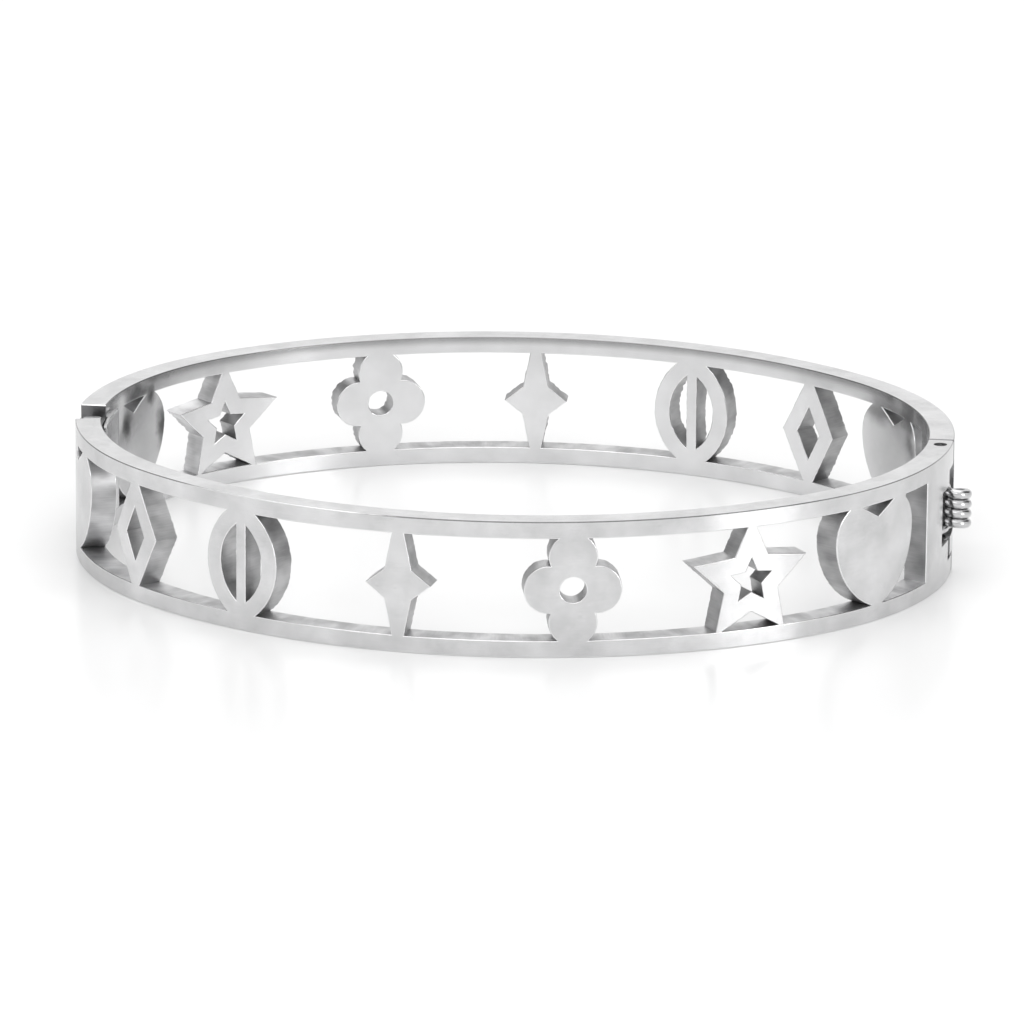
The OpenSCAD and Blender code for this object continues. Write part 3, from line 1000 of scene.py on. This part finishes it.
def layOut(name, outline, look):
    loops = flatLoops(cutCorners(outline, look["chamfers"]), look["cut"], look["places"])
    half = toObject(plateMesh(name, loops, look), look["hingeSide"] < 0, bandSlots)
    print(name, "laid out:", len(loops), "loops,", len(half.data.polygons), "faces")
    return half


def recessCutters():
    recessX = band["length"] / 2 - hinge["recess"]
    low, high = hinge["pocketZ"][0] + hinge["recessOverlap"], hinge["pocketZ"][1] - hinge["recessOverlap"]
    return [
        cutter(boxPlan(recessX, px + past, *hinge["recessY"]), high, hinge["earZ"][1]),
        cutter(boxPlan(recessX, px + past, hinge["recessY"][0], py), hinge["earZ"][0], low),
    ]


notchS = -(halfRun - band["endRadius"] * math.asin(clasp["notchLength"] / band["endRadius"]))
notchZ = h - clasp["notchDepth"]
frontHalf = layOut("frontHalf", [
    (-halfRun, 0), (halfRun, 0), (halfRun, h), (notchS, h), (notchS, notchZ), (-halfRun, notchZ)], frontLook)
earR = hinge["earR"] + band["seam"] - hinge["earOverlap"]
earCut = planArc(earR, 0, math.pi / 2, count=24) + [(px, py + past), (px + past, py + past), (px + past, py)]
pocketX = band["length"] / 2 - hinge["pocketDepth"]
tx = clasp["tongueX"]
carve(frontHalf, recessCutters() + [
    cutter(roundPlan(px, py, hinge["seatR"]), *hinge["earZ"]),
    cutter(boxPlan(px - past, px + past, py, hinge["seatY"]), *hinge["earZ"]),
    cutter(earCut, *through),
    cutter(boxPlan(pocketX, px + past, *hinge["pocketY"]), *hinge["pocketZ"]),
    cutter(roundPlan(px, py, hinge["pinR"] + hinge["pinSlack"][0], n=48), *through),
    cutter(boxPlan(tx - clasp["slotHalf"], tx + clasp["slotHalf"], *clasp["slotY"]), *clasp["slotZ"]),
])
shade(frontHalf)
print("front half carved")

seamS = halfRun - band["endRadius"] * math.asin(band["seam"] / band["endRadius"])
knuckleEnd = -halfRun - hinge["knuckleReach"]
knuckleBase, knuckleTop = hinge["earZ"][0] + hinge["knuckleSlack"], hinge["earZ"][1] - hinge["knuckleSlack"]
backHalf = layOut("backHalf", [
    (-seamS, 0), (seamS, 0), (seamS, h), (-seamS, h), (-seamS, knuckleTop),
    (knuckleEnd, knuckleTop), (knuckleEnd, knuckleBase), (-seamS, knuckleBase)], backLook)
knuckleCut = planArc(hinge["knuckleR"], math.pi, 2 * math.pi, count=32)
knuckleCut += [(px + past, py), (px + past, py - past), (px - past, py - past), (px - past, py)]
roomTurn = math.acos(-hinge["roomSkin"] / hinge["roomR"])
carve(backHalf, recessCutters() + [
    cutter(knuckleCut, *hinge["knuckleCutZ"]),
    cutter(planArc(hinge["roomR"], -roomTurn, roomTurn, count=60), *hinge["pocketZ"]),
    cutter(roundPlan(px, py, hinge["pinR"] + hinge["pinSlack"][1], n=48), *hinge["pinBore"]),
])
shade(backHalf)
print("back half carved")

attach(frontHalf, "front")
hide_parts("front_half")
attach(backHalf, "back")
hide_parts("back_half")


# The small pieces

def meshObject(name, verts, faces, material, smooth=True, sharpAngle=None):
    mesh = bpy.data.meshes.new(name)
    mesh.from_pydata(inMetres(verts), [], faces)
    mesh.polygons.foreach_set("use_smooth", [smooth] * len(faces))
    mesh.materials.append(material)
    if sharpAngle:
        mesh.set_sharp_from_angle(angle=math.radians(sharpAngle))
    mesh.update()
    return addObject(name, mesh)


def ringFaces(count, sides):      # a closed skin over rings of points
    faces = []
    for a in range(0, (count - 1) * sides, sides):
        b = a + sides
        faces += [[a + k, a + (k + 1) % sides, b + (k + 1) % sides, b + k] for k in range(sides)]
    last = (count - 1) * sides
    return faces + [list(range(sides))[::-1], list(range(last, last + sides))]


spring = {
    "radius": 0.8,
    "wire": 0.355,
    "sides": 18,
    "turns": 4,
    "turnSteps": 44,
    "pitch": 0.73,
    "x": band["length"] / 2 + 0.35,
    "z": sum(hinge["pocketZ"]) / 2 + 0.13,
    "lowerLeg": [(-1.5, -1.55), (-1.28, -1.3), (-1.08, -1.0), (-0.92, -0.66), (-0.8, -0.3)],
    "upperLeg": (0.25, 0.45),
    "capRings": 4,
    "capTurn": 0.92,              # how far the rounded ends close
}


def wirePath():               # the lower leg, the coil's turns and the upper leg
    x, r, steps = spring["x"], spring["radius"], spring["turnSteps"]
    rise = spring["pitch"] * spring["turns"] / 2
    path = [(x + legX, py + legY, spring["z"] - rise) for legX, legY in spring["lowerLeg"]]
    for i in range(spring["turns"] * steps + 1):
        a = math.pi - 2 * math.pi * i / steps
        z = spring["z"] - rise + spring["pitch"] * i / steps
        path.append((x + r * math.cos(a), py + r * math.sin(a), z))
    path += [(x - r, py + legY, spring["z"] + rise) for legY in spring["upperLeg"]]
    return [Vector(p) for p in path]


def wireSkin(path):           # round wire with rounded ends
    radius, sides, capRings = spring["wire"], spring["sides"], spring["capRings"]
    first = (path[1] - path[0]).normalized()
    last = (path[-1] - path[-2]).normalized()
    caps = [math.pi / 2 * k / capRings * spring["capTurn"] for k in range(1, capRings + 1)]
    rings = [(path[0] - first * radius * math.sin(a), first, radius * math.cos(a)) for a in caps[::-1]]
    for before, p, following in zip([path[0]] + path, path, path[1:] + [path[-1]]):
        rings.append((p, (following - before).normalized(), radius))
    rings += [(path[-1] + last * radius * math.sin(a), last, radius * math.cos(a)) for a in caps]
    verts = []
    for centre, direction, r in rings:
        across = direction.cross(Vector((0, 0, 1))).normalized()
        up = across.cross(direction).normalized()
        for k in range(sides):
            a = 2 * math.pi * k / sides
            verts.append(tuple(centre + across * (r * math.cos(a)) + up * (r * math.sin(a))))
    return verts, ringFaces(len(rings), sides)


coil = meshObject("hingeSpring", *wireSkin(wirePath()), springSteel)
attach(coil, "front")
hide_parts("hinge_spring")

pinLook = {
    "sides": 40,
    "sharpAngle": 35,
    # how much wider than pinR, and the height there
    "top": [(-0.04, 7.0), (0, 7.04), (0, 9.53), (-0.04, 9.6), (-0.14, 9.64), (-0.455, 9.65)],
    "base": [(-0.455, 0.35), (-0.14, 0.36), (-0.04, 0.4), (0, 0.47), (0, 2.1), (-0.05, 2.15)],
}


def pinObject(name, profile):
    verts = []
    for wider, z in profile:
        verts += [(x, y, z) for x, y in roundPlan(px, py, hinge["pinR"] + wider, pinLook["sides"])]
    faces = ringFaces(len(profile), pinLook["sides"])
    return meshObject(name, verts, faces, finishes["carved"], sharpAngle=pinLook["sharpAngle"])


pinTop = pinObject("pivotPinTop", pinLook["top"])
pinBase = pinObject("pivotPinBase", pinLook["base"])
for pin, node in ((pinTop, "pivot_pin_top"), (pinBase, "pivot_pin_base")):
    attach(pin, "front")
    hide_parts(node)

tongueLook = {
    "leaf": (0.3, (-3.8, 2.1), clasp["tongueZ"]),     # half its thickness, y and z
    "neck": (0.29, (-2.9, -1.3), (8.1, 9.25)),
    "tabCorners": [(0.3, -1.35), (-0.3, -1.35), (-0.3, -2.85), (0.3, -2.85)],
    "tabRound": 0.35,
    "tabStep": 15,
    "tabZ": (9.15, 9.45),
    "soft": 0.06,
    "softAngle": 40,
}
tabR = tongueLook["tabRound"]
tabPlan = []
for i, (x, y) in enumerate(tongueLook["tabCorners"]):
    for turn in range(i * 90, i * 90 + 91, tongueLook["tabStep"]):
        a = math.radians(turn)
        tabPlan.append((tx + x + tabR * math.cos(a), y + tabR * math.sin(a)))
blocks = []
for thick, across, heights in (tongueLook["leaf"], tongueLook["neck"]):
    blocks.append((boxPlan(tx - thick, tx + thick, *across), heights))
verts, faces = [], []
for plan, heights in blocks + [(tabPlan, tongueLook["tabZ"])]:
    blockVerts, blockFaces = prism(plan, *heights)
    faces += [[i + len(verts) for i in face] for face in blockFaces]
    verts += blockVerts
tongue = meshObject("claspTongue", verts, faces, springSteel, smooth=False)
soften = tongue.modifiers.new("soften", "BEVEL")
soften.width = tongueLook["soft"] * mm
soften.segments = 3
soften.limit_method = "ANGLE"
soften.angle_limit = math.radians(tongueLook["softAngle"])
soften.harden_normals = True
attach(tongue, "back")
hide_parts("clasp_tongue")

leafLook = {
    "gap": 0.15,                  # between the leaf and the band's inner face
    "thick": 0.3,
    "ends": (2.5, -3.4),          # y of its two ends
    "steps": 28,
    # heights, and how far each side is drawn in there
    "rows": [(1.6, 0.05), (1.66, 0.015), (1.8, 0), (5.4, 0), (9.0, 0), (9.14, 0.015), (9.2, 0.05)],
    "slimEnds": 0.06,
    "sharpAngle": 50,
}
padLook = {"y": (0.3, 2.3), "outside": (0.4, 0.35), "inside": (0.12, 0.15), "z": (1.75, 9.05)}
leafR = band["endRadius"] - band["wall"] - leafLook["gap"]
startTurn, stopTurn = (math.asin(y / leafR) for y in leafLook["ends"])
verts = []
for i in range(leafLook["steps"] + 1):
    a = startTurn + (stopTurn - startTurn) * i / leafLook["steps"]
    slim = leafLook["slimEnds"] if i in (0, leafLook["steps"]) else 0.0
    section = [(leafR - leafLook["thick"] + soft + slim, z) for z, soft in leafLook["rows"]]
    section += [(leafR - soft - slim, z) for z, soft in leafLook["rows"][::-1]]
    verts += [(-endX - r * math.cos(a), r * math.sin(a), z) for r, z in section]
leafFaces = ringFaces(leafLook["steps"] + 1, 2 * len(leafLook["rows"]))
guard = meshObject("guardLeaf", verts, leafFaces, finishes["inner"], sharpAngle=leafLook["sharpAngle"])
guardMap = guard.data.uv_layers.new(name="bandMap")
for loop in guard.data.loops:
    at = guard.data.vertices[loop.vertex_index].co / mm
    guardMap.uv[loop.index].vector = (at.y, at.z)
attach(guard, "back")

padX = -endX - leafR
padPlan = [(padX + padLook["inside"][0], padLook["y"][0]), (padX - padLook["outside"][0], padLook["y"][0]),
           (padX - padLook["outside"][1], padLook["y"][1]), (padX + padLook["inside"][1], padLook["y"][1])]
pad = meshObject("guardPad", *prism(padPlan, *padLook["z"]), finishes["carved"], smooth=False)
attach(pad, "back")
print("hinge and clasp pieces made")

# The camera, as the photograph was taken

shot = {
    "distance": 591.8,
    "down": 15.46,
    "round": -7.28,
    "roll": 0.48,
    "sideways": 0.12,
    "lift": 1.80,
    "focalPixels": 8000,
    "imagePixels": 1024,
    "sensor": 36,
    "clip": (0.01, 20),
}
down = math.radians(shot["down"])
forward = Vector((0, math.cos(down), -math.sin(down)))
upward = Vector((0, math.sin(down), math.cos(down)))
right = Vector((1, 0, 0))
spot = Vector((0, 0, midZ)) - forward * shot["distance"] - right * shot["sideways"] - upward * shot["lift"]
roll = math.radians(shot["roll"])
camRight = right * math.cos(roll) + upward * math.sin(roll)
camUp = upward * math.cos(roll) - right * math.sin(roll)
unturn = Matrix.Rotation(-math.radians(shot["round"]), 3, "Z")
axes = Matrix((unturn @ camRight, unturn @ camUp, unturn @ -forward)).transposed()
position = (unturn @ spot + Vector((band["moveX"], 0, 0))) * mm
cameraData = bpy.data.cameras.new("camera")
cameraData.lens = shot["focalPixels"] / shot["imagePixels"] * shot["sensor"]
cameraData.sensor_width = shot["sensor"]
cameraData.clip_start, cameraData.clip_end = shot["clip"]
camera = addObject("camera", cameraData)
camera.matrix_world = Matrix.Translation(position) @ axes.to_4x4()
bpy.context.scene.camera = camera

# The floor and the light

floorLook = {"half": 3, "colour": (0.93, 0.93, 0.93, 1), "rough": 0.22, "gloss": 0.35}
floorMesh = bpy.data.meshes.new("floor")
floorPlan = boxPlan(-floorLook["half"], floorLook["half"], -floorLook["half"], floorLook["half"])
floorMesh.from_pydata([(x, y, 0) for x, y in floorPlan], [], [[0, 1, 2, 3]])
floor = addObject("floor", floorMesh)
floorMat, tree, shader = newMaterial("glossyWhiteTable", 0.0)
setInputs(tree, shader, {"Base Color": floorLook["colour"], "Roughness": floorLook["rough"],
                         "Specular IOR Level": floorLook["gloss"]})
floorMesh.materials.append(floorMat)

studio = {
    "walls": [(0.0, coolGrey(0.7)), (0.3, (1, 1, 1, 1))],     # tones from the horizon upward
    "screens": (0.06, 0.06, 0.06, 1),     # two dark screens at the back, left and right
    "screenInside": (0.36, 0.46),         # how each side of a screen fades
    "screenOutside": (0.9, 0.8),
    "screenFoot": (0.2, 0.3),
    "screenFront": (-0.05, 0.1),
}
lights = {
    "topSoftbox": {"place": (0, 80, 600), "size": (700, 700), "power": 1.6},
    "rightSoftbox": {"place": (420, -240, 90), "size": (160, 160), "power": 0.35},
    "frontSoftbox": {"place": (-20, -420, 330), "size": (420, 120), "power": 0.25},
}
world = bpy.data.worlds.new("studio")
bpy.context.scene.world = world
world.use_nodes = True
tree = world.node_tree
view = axesOf(tree, addNode(tree, "TexCoord", {}).outputs["Generated"])
sideView = mathOf(tree, "ABSOLUTE", view["X"])


def fading(value, key):
    return ranged(tree, value, studio[key], kind="SMOOTHSTEP")


across = mathOf(tree, "MULTIPLY", fading(sideView, "screenInside"), fading(sideView, "screenOutside"))
upAndBack = mathOf(tree, "MULTIPLY", fading(view["Z"], "screenFoot"), fading(view["Y"], "screenFront"))
blend = addNode(tree, "Mix", {
    "Factor": mathOf(tree, "MULTIPLY", across, upAndBack),
    6: rampOf(tree, view["Z"], studio["walls"]),
    7: studio["screens"],
}, data_type="RGBA")
setInputs(tree, tree.nodes["Background"], {"Color": blend.outputs[2], "Strength": 1.0})


def softLight(name, place, size, power):      # aimed at the middle of the band
    data = bpy.data.lights.new(name, "AREA")
    data.shape = "RECTANGLE"
    data.size, data.size_y = size[0] * mm, size[1] * mm
    data.energy = power
    obj = addObject(name, data)
    obj.location = Vector(place) * mm
    obj.rotation_euler = (Vector((0, 0, midZ)) - Vector(place)).to_track_quat("-Z", "Y").to_euler()


for name, light in lights.items():
    softLight(name, **light)
bpy.context.scene.view_settings.view_transform = "Standard"
print("camera and light set")
